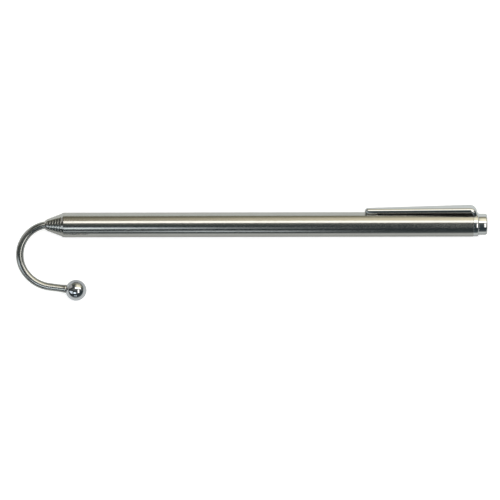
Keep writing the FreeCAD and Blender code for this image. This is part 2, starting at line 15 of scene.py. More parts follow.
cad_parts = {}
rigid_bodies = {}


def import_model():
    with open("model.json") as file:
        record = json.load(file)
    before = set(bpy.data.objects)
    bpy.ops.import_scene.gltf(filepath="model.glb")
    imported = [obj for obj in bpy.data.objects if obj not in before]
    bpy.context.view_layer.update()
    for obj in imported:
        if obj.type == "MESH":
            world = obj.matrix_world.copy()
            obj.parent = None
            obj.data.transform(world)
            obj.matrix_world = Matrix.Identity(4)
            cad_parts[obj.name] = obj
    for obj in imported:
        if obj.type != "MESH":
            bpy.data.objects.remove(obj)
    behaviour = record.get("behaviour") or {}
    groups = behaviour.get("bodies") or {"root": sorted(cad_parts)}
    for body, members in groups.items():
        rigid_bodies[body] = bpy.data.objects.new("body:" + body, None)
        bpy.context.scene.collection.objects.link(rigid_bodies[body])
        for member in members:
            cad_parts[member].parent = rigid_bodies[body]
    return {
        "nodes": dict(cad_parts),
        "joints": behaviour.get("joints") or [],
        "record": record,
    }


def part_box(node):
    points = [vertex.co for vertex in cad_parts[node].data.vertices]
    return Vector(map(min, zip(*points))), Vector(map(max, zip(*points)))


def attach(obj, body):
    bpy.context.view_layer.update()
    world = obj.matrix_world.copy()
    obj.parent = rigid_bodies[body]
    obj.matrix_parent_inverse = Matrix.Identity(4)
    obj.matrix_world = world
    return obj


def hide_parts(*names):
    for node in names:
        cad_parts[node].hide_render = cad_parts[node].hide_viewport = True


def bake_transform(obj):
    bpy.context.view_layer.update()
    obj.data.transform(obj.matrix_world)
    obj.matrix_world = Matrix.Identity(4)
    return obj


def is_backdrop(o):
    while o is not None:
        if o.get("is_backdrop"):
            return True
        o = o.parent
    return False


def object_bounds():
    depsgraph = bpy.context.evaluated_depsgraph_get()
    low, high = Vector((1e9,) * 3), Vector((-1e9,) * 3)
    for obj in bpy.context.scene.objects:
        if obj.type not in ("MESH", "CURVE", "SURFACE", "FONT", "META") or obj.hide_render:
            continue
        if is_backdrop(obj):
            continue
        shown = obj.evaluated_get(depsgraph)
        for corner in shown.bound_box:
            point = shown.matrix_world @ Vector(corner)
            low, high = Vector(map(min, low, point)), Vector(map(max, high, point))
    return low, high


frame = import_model()
cad_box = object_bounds()
MM = 0.001

# %% [markdown]
# ## Reading the sizes from the model
# A turned part is known by where it starts and ends along the axis and by its radius. Both can be
# read from the box of its node, so no length is written twice and every new piece fits the frame.

# %% Sizes along the axis


def span(node):
    """A node's rear X, front X and radius. The nose points along -X, so the front is the lower X."""
    low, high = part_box(node)
    return high.x, low.x, (high.z - low.z) / 2


TUBES = range(2, 8)
barrel_rear, barrel_nose, barrel_radius = span("outer_tube")
cap_end, cap_stud_end, cap_radius = span("end_cap")
collar_rear, collar_front, collar_radius = span("clip_collar")
section_rear, section_nose, section_radius = {}, {}, {}
for tube in TUBES:
    section_rear[tube], section_nose[tube], section_radius[tube] = span(f"section_tube_{tube}")
    sizes = (section_nose[tube] / MM, section_radius[tube] / MM)
    print("section %d: nose at %.2f mm, radius %.2f mm" % (tube, *sizes))

# %% [markdown]
# The neck is chained from the last section to the ball by hinges. Each hinge gives a point of the
# rod's centre line, and they all share one axis, which is square to the plane that the hook lies in.

# %% The neck's bends
neck_hinges = [joint for joint in frame["joints"] if joint["name"].startswith("neck_bend")]
bend_points = [Vector(joint["pos_m"]) for joint in neck_hinges]
neck_bodies = [neck_hinges[0]["parent"]] + [joint["child"] for joint in neck_hinges]
hook_normal = Vector(neck_hinges[0]["axis"]).normalized()
rod_radius = span("neck_root")[2]
ball_low, ball_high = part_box("magnet_ball")
ball_centre = (ball_low + ball_high) / 2
ball_radius = (ball_high.z - ball_low.z) / 2
print("%d bends, rod radius %.3f mm, ball radius %.3f mm"
      % (len(bend_points), rod_radius / MM, ball_radius / MM))

# %% [markdown]
# ## Finishes
# All the metal shares three effects, so each is a node group. `Drawn lines` are the fine streaks
# that a tube keeps from being pulled through a die: noise that is stretched a hundred times along
# the tube. `Handling` is the faint cloud of fingerprints and dulled patches. `Hairlines` are the
# sparse scratches of a tool that has been in a drawer. A group gives out only values and colours.

# %% Helpers for node trees


def add_node(tree, kind, **settings):
    """A new node with its settings."""
    node = tree.nodes.new(kind)
    for name, setting in settings.items():
        setattr(node, name, setting)
    return node


def new_group(name, inputs, outputs):
    """An empty node group. inputs are (name, kind, default) and outputs (name, kind)."""
    group = bpy.data.node_groups.new(name, "ShaderNodeTree")
    for socket, kind, default in inputs:
        made = group.interface.new_socket(name=socket, in_out="INPUT", socket_type=kind)
        made.default_value = default
    for socket, kind in outputs:
        group.interface.new_socket(name=socket, in_out="OUTPUT", socket_type=kind)
    return group, group.nodes.new("NodeGroupInput"), group.nodes.new("NodeGroupOutput")


def place_group(tree, group, **values):
    """The group as a node of a material, with its own values."""
    node = tree.nodes.new("ShaderNodeGroup")
    node.node_tree = group
    for name, number in values.items():
        node.inputs[name.replace("_", " ")].default_value = number
    return node


def maths(tree, operation, first, second=None):
    """A Math node whose inputs are links or plain numbers, and its output."""
    node = add_node(tree, "ShaderNodeMath", operation=operation)
    for socket, source in zip(node.inputs, (first, second)):
        if isinstance(source, (int, float)):
            socket.default_value = source
        elif source is not None:
            tree.links.new(source, socket)
    return node.outputs[0]


# %% The drawn lines group


def make_drawn_lines():
    """Streaks along the surface. The vector comes in already stretched along their length."""
    group, inside, out = new_group(
        "Drawn lines",
        [("Vector", "NodeSocketVector", (0, 0, 0)), ("Fineness", "NodeSocketFloat", 4000.0),
         ("Depth", "NodeSocketFloat", 0.000002)],
        [("Streak", "NodeSocketFloat"), ("Normal", "NodeSocketVector")],
    )
    wide = add_node(group, "ShaderNodeTexNoise", noise_dimensions="3D")
    wide.inputs["Detail"].default_value = 3.0
    wide.inputs["Roughness"].default_value = 0.7
    bump = add_node(group, "ShaderNodeBump")
    bump.inputs["Strength"].default_value = 1.0
    group.links.new(inside.outputs["Vector"], wide.inputs["Vector"])
    group.links.new(inside.outputs["Fineness"], wide.inputs["Scale"])
    group.links.new(inside.outputs["Depth"], bump.inputs["Distance"])
    group.links.new(wide.outputs["Fac"], bump.inputs["Height"])
    group.links.new(wide.outputs["Fac"], out.inputs["Streak"])
    group.links.new(bump.outputs["Normal"], out.inputs["Normal"])
    return group


drawn_lines = make_drawn_lines()
print("group", drawn_lines.name)

# %% The handling group


def make_handling():
    """Soft clouds that are 1 where the metal has been handled and 0 where it is clean."""
    group, inside, out = new_group(
        "Handling",
        [("Vector", "NodeSocketVector", (0, 0, 0)), ("Size", "NodeSocketFloat", 160.0)],
        [("Dulled", "NodeSocketFloat")],
    )
    cloud = add_node(group, "ShaderNodeTexNoise")
    cloud.inputs["Detail"].default_value = 4.0
    cloud.inputs["Distortion"].default_value = 0.6
    spread = add_node(group, "ShaderNodeMapRange")
    spread.inputs["From Min"].default_value = 0.42
    spread.inputs["From Max"].default_value = 0.68
    group.links.new(inside.outputs["Vector"], cloud.inputs["Vector"])
    group.links.new(inside.outputs["Size"], cloud.inputs["Scale"])
    group.links.new(cloud.outputs["Fac"], spread.inputs["Value"])
    group.links.new(spread.outputs["Result"], out.inputs["Dulled"])
    return group


handling = make_handling()
print("group", handling.name)

# %% The hairlines group


def make_hairlines():
    """Thin curved scratches: the places where a distorted noise crosses its middle value."""
    group, inside, out = new_group(
        "Hairlines",
        [("Vector", "NodeSocketVector", (0, 0, 0)), ("Size", "NodeSocketFloat", 300.0),
         ("Width", "NodeSocketFloat", 0.006)],
        [("Scratch", "NodeSocketFloat")],
    )
    paths = add_node(group, "ShaderNodeTexNoise")
    paths.inputs["Detail"].default_value = 1.0
    paths.inputs["Distortion"].default_value = 2.5
    group.links.new(inside.outputs["Vector"], paths.inputs["Vector"])
    group.links.new(inside.outputs["Size"], paths.inputs["Scale"])
    centred = maths(group, "SUBTRACT", paths.outputs["Fac"], 0.5)
    distance = maths(group, "ABSOLUTE", centred)
    near = maths(group, "LESS_THAN", distance, 0.5)
    group.links.new(inside.outputs["Width"], near.node.inputs[1])
    group.links.new(near, out.inputs["Scratch"])
    return group


hairlines = make_hairlines()
print("group", hairlines.name)

# %% [markdown]
# Each finish is one Principled shader with the groups around it. What differs is the colour of the
# metal, how polished it is, and how the streaks lie: along the X axis on the tubes, round the axis on
# turned pieces, along the rod on the neck. The neck is curved, so its streaks can't follow an axis.
# They read an attribute that every ring of the rod carries: the direction from its own centre.

# %% The metal recipe
STREAK_SHARE = 0.6


def metal(name, clean, dull, roughness, dulling, stretch=(1, 1, 1), fineness=4000.0, depth=0.000002,
          scratches=0.0, attribute=None):
    """A bare metal. clean and dull are its two colours, and stretch scales the streaks' coordinates."""
    material = bpy.data.materials.new(name)
    material.use_nodes = True
    tree = material.node_tree
    shader = tree.nodes["Principled BSDF"]
    shader.inputs["Metallic"].default_value = 1.0
    place = add_node(tree, "ShaderNodeTexCoord")
    along = add_node(tree, "ShaderNodeMapping")
    along.inputs["Scale"].default_value = stretch
    if attribute:
        read = add_node(tree, "ShaderNodeAttribute", attribute_name=attribute)
        tree.links.new(read.outputs["Vector"], along.inputs["Vector"])
    else:
        tree.links.new(place.outputs["Object"], along.inputs["Vector"])
    lines = place_group(tree, drawn_lines, Fineness=fineness, Depth=depth)
    marks = place_group(tree, handling)
    hair = place_group(tree, hairlines)
    tree.links.new(along.outputs["Vector"], lines.inputs["Vector"])
    tree.links.new(place.outputs["Object"], marks.inputs["Vector"])
    tree.links.new(place.outputs["Object"], hair.inputs["Vector"])

    streaked = maths(tree, "MULTIPLY", lines.outputs["Streak"], STREAK_SHARE)
    clouded = maths(tree, "MULTIPLY", marks.outputs["Dulled"], 1 - STREAK_SHARE)
    shade = maths(tree, "ADD", streaked, clouded)
    colour = add_node(tree, "ShaderNodeMix", data_type="RGBA")
    colour.inputs["A"].default_value = (*clean, 1)
    colour.inputs["B"].default_value = (*dull, 1)
    tree.links.new(shade, colour.inputs["Factor"])
    tree.links.new(colour.outputs["Result"], shader.inputs["Base Color"])

    rough = maths(tree, "MULTIPLY_ADD", lines.outputs["Streak"], dulling)
    rough.node.inputs[2].default_value = roughness
    worn = maths(tree, "MULTIPLY_ADD", marks.outputs["Dulled"], dulling)
    tree.links.new(rough, worn.node.inputs[2])
    scratched = maths(tree, "MULTIPLY_ADD", hair.outputs["Scratch"], scratches)
    tree.links.new(worn, scratched.node.inputs[2])
    tree.links.new(scratched, shader.inputs["Roughness"])
    tree.links.new(lines.outputs["Normal"], shader.inputs["Normal"])
    return material


# %% The finishes
LENGTHWISE = (0.004, 1, 1)
ROUND_THE_AXIS = (1, 0.02, 0.02)
finishes = {
    "brushed_stainless": metal(
        "drawn stainless tube", (0.62, 0.61, 0.58), (0.575, 0.565, 0.535), 0.145, 0.02,
        stretch=LENGTHWISE, fineness=9000.0, depth=0.00000018, scratches=0.012),
    "satin_steel_rod": metal(
        "satin steel rod", (0.6, 0.6, 0.58), (0.55, 0.55, 0.53), 0.16, 0.03,
        fineness=9.0, depth=0.0000004, scratches=0.02, attribute="rod_direction"),
    "chrome_plate": metal(
        "bright chrome plate", (0.8, 0.81, 0.81), (0.74, 0.75, 0.75), 0.035, 0.02,
        stretch=ROUND_THE_AXIS, fineness=5000.0, depth=0.0000002, scratches=0.03),
    # The clip's inside: rough unplated sheet, with its colour darkened far below bare steel as painted shade
    # inside the closed channel.
    "pressed_inside": metal(
        "inside of the clip, darkened as painted shade", (0.2, 0.2, 0.2), (0.11, 0.11, 0.11), 0.42, 0.15,
        stretch=LENGTHWISE, fineness=6000.0, depth=0.000002, scratches=0.1),
    "nickel_plate": metal(
        "bright nickel plate", (0.78, 0.79, 0.82), (0.72, 0.73, 0.76), 0.03, 0.02,
        fineness=900.0, depth=0.0000005, scratches=0.03),
    "brass": metal(
        "turned brass", (0.8, 0.62, 0.3), (0.62, 0.45, 0.2), 0.22, 0.1,
        stretch=ROUND_THE_AXIS, fineness=6000.0, depth=0.000002, scratches=0.05),
    "spring_bronze": metal(
        "rolled spring bronze", (0.66, 0.42, 0.24), (0.45, 0.27, 0.15), 0.3, 0.1,
        stretch=LENGTHWISE, fineness=4000.0, depth=0.000002, scratches=0.05),
}
print("finishes", sorted(finishes))

# %% [markdown]
# The pieces that stay hidden inside, the bushes and the sprung sleeves, keep their CAD shapes. They
# only need their finish, which goes on the node's own material slot.

# %% Finishes on the hidden pieces
slot_of_node = {part["node"]: part["material_slot"] for part in frame["record"]["subparts"]}
for node, piece in frame["nodes"].items():
    piece.data.materials.clear()
    piece.data.materials.append(finishes[slot_of_node[node]])
print("CAD nodes given a finish", len(frame["nodes"]))

# %% [markdown]
# ## Finishing a piece
# Every new mesh ends in the same way: doubles merged, faces turned outwards, smooth shading with
# sharp real corners, and weighted normals. The last matter most on bright metal. They keep a long
# wall's reflection straight right up to the small rounding at its end.

# %% Helpers that finish a piece
SHARP_ANGLE = math.radians(40)
DOUBLES = 0.000001


def edges_among(verts):
    """The edges that have both their ends among the verts."""
    near = dict.fromkeys(edge for vert in verts for edge in vert.link_edges)
    return [edge for edge in near if edge.verts[0] in verts and edge.verts[1] in verts]


def close_up(bm):
    """Merges doubles and points the faces outwards."""
    bmesh.ops.remove_doubles(bm, verts=bm.verts, dist=DOUBLES)
    bmesh.ops.recalc_face_normals(bm, faces=bm.faces)


def finish_piece(name, bm, slot, body, nodes):
    """Makes the object, gives it its finish, and lets it ride on its body in place of its nodes."""
    mesh = bpy.data.meshes.new(name)
    bm.to_mesh(mesh)
    bm.free()
    mesh.materials.append(finishes[slot])
    mesh.shade_smooth()
    mesh.set_sharp_from_angle(angle=SHARP_ANGLE)
    piece = bpy.data.objects.new(name, mesh)
    bpy.context.scene.collection.objects.link(piece)
    if body:
        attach(piece, body)
    if nodes:
        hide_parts(*nodes)
    print(name, len(mesh.polygons), "faces")
    return piece


def weigh_normals(piece):
    """Lets the large faces set the shading at the edges that they share with small ones."""
    weighted = piece.modifiers.new("even reflections", "WEIGHTED_NORMAL")
    weighted.mode = "FACE_AREA"
    weighted.keep_sharp = True


# %% [markdown]
# ## Turned pieces
# Barrel, sections, collar and cap are all round, so each is one outline turned about the axis, as on
# a lathe. The outline is a few vertices. Its corners are rounded first, with a vertex bevel, and then
# one full spin makes the wall. Rounding a corner before the spin costs a fraction of rounding the
# ring after it, and it can't go wrong at a seam.

# %% The lathe
TURNED_SIDES = 128
CORNER_STEPS = 5


def turned(corners, closed=False):
    """A bmesh turned about the X axis from corners of (x, radius, rounding)."""
    bm = bmesh.new()
    outline = [bm.verts.new((x, 0, radius)) for x, radius, _ in corners]
    for first, second in zip(outline, outline[1:]):
        bm.edges.new((first, second))
    if closed:
        bm.edges.new((outline[-1], outline[0]))
    for corner, (_, _, rounding) in zip(outline, corners):
        if rounding:
            bmesh.ops.bevel(bm, geom=[corner], offset=rounding, offset_type="OFFSET", segments=CORNER_STEPS,
                            profile=0.5, affect="VERTICES", material=-1)
    bmesh.ops.spin(bm, geom=bm.verts[:] + bm.edges[:], axis=(1, 0, 0), cent=(0, 0, 0),
                   angle=2 * math.pi, steps=TURNED_SIDES, use_merge=True)
    close_up(bm)
    return bm


# %% [markdown]
# ### Barrel and sections
# Each tube's front end is crimped: the wall is pressed inwards to a narrow mouth, which guides the
# next tube and stops it from coming out. Closed, the seven mouths stand one behind the other and
# make the stepped point of the tool. The crimp's shoulder is soft, because a press can't make a
# sharp corner in tube.

# %% Barrel and sections
NOSE_TAPER = 0.7 * MM
LIP = 0.12 * MM
MOUTH_GAP = 0.03 * MM
SHOULDER = 0.16 * MM
LIP_ROUNDING = 0.05 * MM
BARREL_WALL = 0.45 * MM
SECTION_WALL = 0.2 * MM
REAR_ROUNDING = 0.05 * MM
MOUTH_ROUNDING = 0.03 * MM
MOUTH_LENGTH = 0.3 * MM


def tube_corners(rear, nose, radius, wall, inner_radius):
    """The outline of a tube with a crimped nose, round its outside and back along its bore."""
    mouth = inner_radius + MOUTH_GAP
    bore = radius - wall
    return [
        (rear, radius, REAR_ROUNDING),
        (nose + NOSE_TAPER, radius, SHOULDER),
        (nose, mouth + LIP, LIP_ROUNDING),
        (nose, mouth, MOUTH_ROUNDING),
        (nose + MOUTH_LENGTH, mouth, 0),
        (nose + NOSE_TAPER, bore, 0),
        (rear, bore, 0),
    ]


inner_radius = dict(section_radius)
inner_radius[8] = rod_radius
corners = tube_corners(barrel_rear, barrel_nose, barrel_radius, BARREL_WALL, inner_radius[2])
barrel = finish_piece("barrel_tube", turned(corners, closed=True), "brushed_stainless", "barrel",
                      ["outer_tube"])
weigh_normals(barrel)
for tube in TUBES:
    corners = tube_corners(section_rear[tube], section_nose[tube], section_radius[tube], SECTION_WALL,
                           inner_radius[tube + 1])
    section = finish_piece(f"section_tube_{tube}_wall", turned(corners, closed=True), "brushed_stainless",
                           f"section_{tube}", [f"section_tube_{tube}"])
    weigh_normals(section)

# %% [markdown]
# ### Cap and collar
# The cap is a small turned button with a rounded rim. The collar is the bright ring that traps the
# clip, with a soft shoulder towards the cap, where it shows a thin white glint.

# %% Cap and collar
CAP_ROUNDING = 0.6 * MM
CAP_SHOULDER = 0.08 * MM
STUD_RADIUS = 2 * MM
STUD_ROUNDING = 0.2 * MM
COLLAR_ROUNDING = 0.5 * MM
COLLAR_EDGE = 0.06 * MM
cap_corners = [
    (cap_end, 0, 0),
    (cap_end, cap_radius, CAP_ROUNDING),
    (collar_rear, cap_radius, CAP_SHOULDER),
    (collar_rear, STUD_RADIUS, 0),
    (cap_stud_end, STUD_RADIUS, STUD_ROUNDING),
    (cap_stud_end, 0, 0),
]
cap = finish_piece("tail_cap", turned(cap_corners), "chrome_plate", "barrel", ["end_cap"])
weigh_normals(cap)
collar_corners = [
    (collar_rear, STUD_RADIUS, 0),
    (collar_rear, collar_radius, COLLAR_ROUNDING),
    (collar_front, collar_radius, COLLAR_EDGE),
    (collar_front, STUD_RADIUS, 0),
]
collar = finish_piece("collar_ring", turned(collar_corners, closed=True), "chrome_plate", "barrel",
                      ["clip_collar"])
weigh_normals(collar)

# %% [markdown]
# ## The neck
# The real neck is one soft steel rod. In the frame it is twelve short bends, and a rod drawn as
# twelve straight links would show every kink. Each bend is therefore an arc here: a ring of the rod
# is spun about the point where the arc has its centre, from the middle of one link to the middle of
# the next. Neighbouring lengths share their end rings exactly.

# %% Helpers for the rod
ROD_SIDES = 48
ARC_STEPS = 10
ON_RING = 10 * DOUBLES


def start_ring(bm, centre, heading):
    """A ring of the rod, square to its heading, that carries the direction from its centre."""
    across = hook_normal.cross(heading).normalized()
    turn = Matrix((hook_normal, across, heading.normalized())).transposed().to_4x4()
    layer = bm.verts.layers.float_vector.new("rod_direction")
    ring = bmesh.ops.create_circle(bm, cap_ends=False, radius=rod_radius, segments=ROD_SIDES,
                                   matrix=Matrix.Translation(centre) @ turn)["verts"]
    for vert in ring:
        out = (vert.co - centre).normalized()
        vert[layer] = (out.dot(hook_normal), out.dot(across), 0)
    return ring


def carry_on(bm, ring, travel, scale=1.0):
    """Extrudes the ring by a travel, resized about its own centre, and gives the new ring."""
    made = bmesh.ops.extrude_edge_only(bm, edges=edges_among(ring))["geom"]
    fresh = [item for item in made if isinstance(item, bmesh.types.BMVert)]
    bmesh.ops.translate(bm, verts=fresh, vec=travel)
    if scale != 1.0:
        middle = sum((vert.co for vert in fresh), Vector()) / len(fresh)
        for vert in fresh:
            vert.co = middle + (vert.co - middle) * scale
    return fresh


def bend_round(bm, ring, middle, angle):
    """Spins the ring about an axis square to the hook, and gives the last ring."""
    made = bmesh.ops.spin(bm, geom=list(ring) + edges_among(ring), axis=hook_normal, cent=middle,
                          angle=angle, steps=ARC_STEPS, use_merge=False)["geom_last"]
    return [item for item in made if isinstance(item, bmesh.types.BMVert)]


def true_ends(piece, ends):
    """Gives the end rings the normals of the whole rod, so that the joins don't show."""
    mesh = piece.data
    normals = [vert.normal.copy() for vert in mesh.vertices]
    for vert in mesh.vertices:
        for centre, heading in ends:
            out = vert.co - centre
            if abs(out.dot(heading)) < ON_RING and abs(out.length - rod_radius) < ON_RING:
                normals[vert.index] = out.normalized()
    mesh.normals_split_custom_set_from_vertices(normals)


# %% The rod's lengths
headings = [Vector((-1, 0, 0))]
for first, second in zip(bend_points, bend_points[1:]):
    headings.append((second - first).normalized())
headings.append((ball_centre - bend_points[-1]).normalized())
pitches = [(second - first).length for first, second in zip(bend_points, bend_points[1:])]
reach = [pitches[0] / 2] + [pitch / 2 for pitch in pitches] + [pitches[-1] / 2]
joins = [bend_points[0] - headings[0] * reach[0]]
for number, bend in enumerate(bend_points):
    joins.append(bend + headings[number + 1] * reach[number + 1])
print("rod joins", [tuple(round(c / MM, 1) for c in join) for join in joins[:3]], "...")


def rod_length(number):
    """The rod from one join to the next, round one bend."""
    bend, before, after = bend_points[number], headings[number], headings[number + 1]
    start, end = joins[number], joins[number + 1]
    lead_in, lead_out = (bend - start).length, (end - bend).length
    tangent = min(lead_in, lead_out)
    angle = before.angle(after)
    side = 1 if before.cross(after).dot(hook_normal) > 0 else -1
    inwards = hook_normal.cross(before).normalized() * side
    arc_start = bend - before * tangent
    middle = arc_start + inwards * (tangent / math.tan(angle / 2))
    bm = bmesh.new()
    ring = start_ring(bm, start, before)
    if lead_in - tangent > DOUBLES:
        ring = carry_on(bm, ring, before * (lead_in - tangent))
    ring = bend_round(bm, ring, middle, side * angle)
    if lead_out - tangent > DOUBLES:
        carry_on(bm, ring, after * (lead_out - tangent))
    close_up(bm)
    return bm


for number, (body, next_body) in enumerate(zip(neck_bodies, neck_bodies[1:])):
    stands_for = [f"neck_link_{number:02d}"] if number else ["neck_root"]
    length = finish_piece(f"neck_rod_{number + 1:02d}", rod_length(number), "satin_steel_rod", None,
                          stands_for)
    true_ends(length, [(joins[number], headings[number]), (joins[number + 1], headings[number + 1])])
    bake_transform(length)

# %% [markdown]
# The rod's rear end is straight and sits inside the last section. Its front end is straight too, and
# widens into a small cup that is rolled over the ball's shank.

# %% The rod's two ends
root_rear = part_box("neck_root")[1].x
bm = bmesh.new()
ring = start_ring(bm, Vector((root_rear, 0, 0)), headings[0])
bmesh.ops.contextual_create(bm, geom=bm.edges[:])
carry_on(bm, ring, joins[0] - Vector((root_rear, 0, 0)))
close_up(bm)
root = finish_piece("neck_rod_root", bm, "satin_steel_rod", neck_bodies[0], [])
true_ends(root, [(joins[0], headings[0])])

CUP_LENGTH = 2.4 * MM
CUP_STEPS = 6
CUP_FLARE = 0.175 * MM
CUP_LIP = 0.06 * MM
CUP_LIP_SCALE = 0.96
CUP_MOUTH_SCALE = 0.8
CUP_WALL = 0.3 * MM
BALL_SINK = 0.12 * MM
cup_radius = rod_radius + CUP_FLARE
ball_face = ball_radius - BALL_SINK
straight = (ball_centre - joins[-1]).length - ball_face
last_heading = headings[-1]
bm = bmesh.new()
ring = start_ring(bm, joins[-1], last_heading)
ring = carry_on(bm, ring, last_heading * (straight - CUP_LENGTH))
width = rod_radius
for step in range(1, CUP_STEPS + 1):
    share = step / CUP_STEPS
    target = rod_radius + (cup_radius - rod_radius) * share * share
    ring = carry_on(bm, ring, last_heading * (CUP_LENGTH / CUP_STEPS), scale=target / width)
    width = target
ring = carry_on(bm, ring, last_heading * CUP_LIP, scale=CUP_LIP_SCALE)
ring = carry_on(bm, ring, Vector(), scale=CUP_MOUTH_SCALE)
carry_on(bm, ring, -last_heading * CUP_WALL)
close_up(bm)
tip = finish_piece("neck_rod_tip", bm, "satin_steel_rod", neck_bodies[-1], ["neck_tip"])
true_ends(tip, [(joins[-1], last_heading)])

# %% [markdown]
# ## The ball magnet
# The magnet is a plated ball with a short shank under the rod's cup. It is turned from a half
# outline, about the rod's own direction, so that its poles lie under the cup and at the far end,
# where they can't be seen.

# %% The ball magnet
BALL_STEPS = 40
BALL_SIDES = 80
SHANK_RADIUS = 1.15 * MM
SHANK_LENGTH = 0.35 * MM


def make_ball():
    """The ball, turned about its own X axis and then laid along the rod."""
    bm = bmesh.new()
    edge_angle = math.asin(SHANK_RADIUS / ball_radius)
    pole = bm.verts.new((ball_radius, 0, 0))
    made = bmesh.ops.spin(bm, geom=[pole], axis=(0, 1, 0), cent=(0, 0, 0), angle=-(math.pi - edge_angle),
                          steps=BALL_STEPS)["geom_last"]
    rim = next(item for item in made if isinstance(item, bmesh.types.BMVert))
    shank = bmesh.ops.extrude_vert_indiv(bm, verts=[rim])["verts"][0]
    shank.co.x -= SHANK_LENGTH
    bmesh.ops.spin(bm, geom=bm.verts[:] + bm.edges[:], axis=(1, 0, 0), cent=(0, 0, 0),
                   angle=2 * math.pi, steps=BALL_SIDES, use_merge=True)
    across = hook_normal.cross(last_heading).normalized()
    turn = Matrix((last_heading, across, hook_normal)).transposed().to_4x4()
    bmesh.ops.transform(bm, verts=bm.verts, matrix=Matrix.Translation(ball_centre) @ turn)
    close_up(bm)
    return bm


finish_piece("ball_magnet", make_ball(), "nickel_plate", neck_bodies[-1], ["magnet_ball"])

# %% [markdown]
# ## The pocket clip
# The clip is pressed from thin sheet into a channel: a narrow back, two soft folds and two shallow
# sides whose lower edges roll in. It tapers to the tip, where the sides drop into a pad that grips
# the pocket, and at its root it bends down into a tab under the collar. It is built like the pressing:
# one open section, spun through the bend, run out to the tip and spun round the tip, then given its
# thickness with Solidify. Only the outside is plated bright. Solidify gives the inside a material of
# its own: rougher unplated sheet, with its colour darkened well below bare steel as painted shade, so
# that the barrel mirrors a dark channel above it.

# %% The clip's places
clip_low, clip_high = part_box("pocket_clip")
CLIP_ANGLE = 25
CLIP_TURN = math.radians(CLIP_ANGLE - 90)
CLIP_REAR = clip_high.x
CLIP_TIP = clip_low.x
BACK_HEIGHT = barrel_radius + 2.4 * MM
TIP_HEIGHT = barrel_radius + 1.75 * MM
BEND_RADIUS = 2.4 * MM
SIDE_DEPTH = 1.6 * MM
TIP_SIDE_DEPTH = 1.5 * MM
ROOT_HALF = 2.1 * MM
TIP_HALF = 1.15 * MM
FOLD_RADIUS = 1.0 * MM
ROLL_IN = 0.5 * MM
ROLL_ROUNDING = ROLL_IN * 0.9
FOLD_STEPS = 10
ROLL_STEPS = 4
BEND_STEPS = 14
TIP_STEPS = 10
SHEET = 0.3 * MM
EDGE_SOFTNESS = 0.05 * MM
PAD_HEIGHT = barrel_radius + 0.05 * MM
bend_x = CLIP_REAR - BEND_RADIUS
bend_z = BACK_HEIGHT - BEND_RADIUS
tip_centre_x = CLIP_TIP + TIP_HALF
print("clip from", round(CLIP_REAR / MM, 2), "to", round(CLIP_TIP / MM, 2))

# %% The clip's section


def start_section(bm):
    """The channel's half section at the foot of the bend, from the middle of the back to the rolled edge."""
    places = [
        (0, BACK_HEIGHT),
        (ROOT_HALF, BACK_HEIGHT),
        (ROOT_HALF, BACK_HEIGHT - SIDE_DEPTH),
        (ROOT_HALF - ROLL_IN, BACK_HEIGHT - SIDE_DEPTH),
    ]
    verts = [bm.verts.new((bend_x, y, z)) for y, z in places]
    for first, second in zip(verts, verts[1:]):
        bm.edges.new((first, second))
    bmesh.ops.bevel(bm, geom=[verts[1]], offset=FOLD_RADIUS, offset_type="OFFSET", segments=FOLD_STEPS,
                    profile=0.5, affect="VERTICES", material=-1)
    bmesh.ops.bevel(bm, geom=[verts[2]], offset=ROLL_ROUNDING, offset_type="OFFSET", segments=ROLL_STEPS,
                    profile=0.5, affect="VERTICES", material=-1)


def half_width(x):
    """Half the clip's width at x."""
    share = (CLIP_REAR - x) / (CLIP_REAR - tip_centre_x)
    return ROOT_HALF + (TIP_HALF - ROOT_HALF) * min(share, 1)


def back_height(x):
    """Height of the clip's back at x, above the axis of the barrel."""
    share = (bend_x - x) / (bend_x - CLIP_TIP)
    return BACK_HEIGHT + (TIP_HEIGHT - BACK_HEIGHT) * share


def side_depth(x):
    """Depth of the clip's sides at x, without the pad."""
    share = (bend_x - x) / (bend_x - CLIP_TIP)
    return SIDE_DEPTH + (TIP_SIDE_DEPTH - SIDE_DEPTH) * share


PAD_LENGTH = 3.55 * MM
PAD_FOOT = CLIP_TIP + PAD_LENGTH
PAD_RAMP = 0.9 * MM


def pad_drop(x):
    """How far the sides reach below their usual depth at x: nothing, then a ramp, then the pad."""
    full = back_height(x) - side_depth(x) - PAD_HEIGHT
    share = (PAD_FOOT + PAD_RAMP - x) / PAD_RAMP
    share = max(0.0, min(1.0, share))
    return full * share * share * (3 - 2 * share)


# %% The clip's channel
ARM_STEP = 3 * MM
RAMP_STEP = 0.15 * MM
RAMP_LEAD = 0.2 * MM
STATIONS = [bend_x - step * ARM_STEP for step in range(1, 10)]
STATIONS += [PAD_FOOT + PAD_RAMP + RAMP_LEAD - step * RAMP_STEP for step in range(0, 9)]
STATIONS += [tip_centre_x]


def move_section(verts, x, was_x):
    """Carries a section from one station to the next: narrower, lower, and deeper at the pad."""
    narrowing = half_width(was_x) - half_width(x)
    sinking = back_height(was_x) - back_height(x)
    depth = side_depth(was_x) + pad_drop(was_x)
    deepening = side_depth(x) + pad_drop(x) - depth
    for vert in verts:
        below = (back_height(was_x) - vert.co.z - FOLD_RADIUS) / (depth - FOLD_RADIUS)
        below = max(0.0, min(1.0, below))
        vert.co.x += x - was_x
        if vert.co.y > DOUBLES:
            vert.co.y -= narrowing
        vert.co.z -= sinking + deepening * below


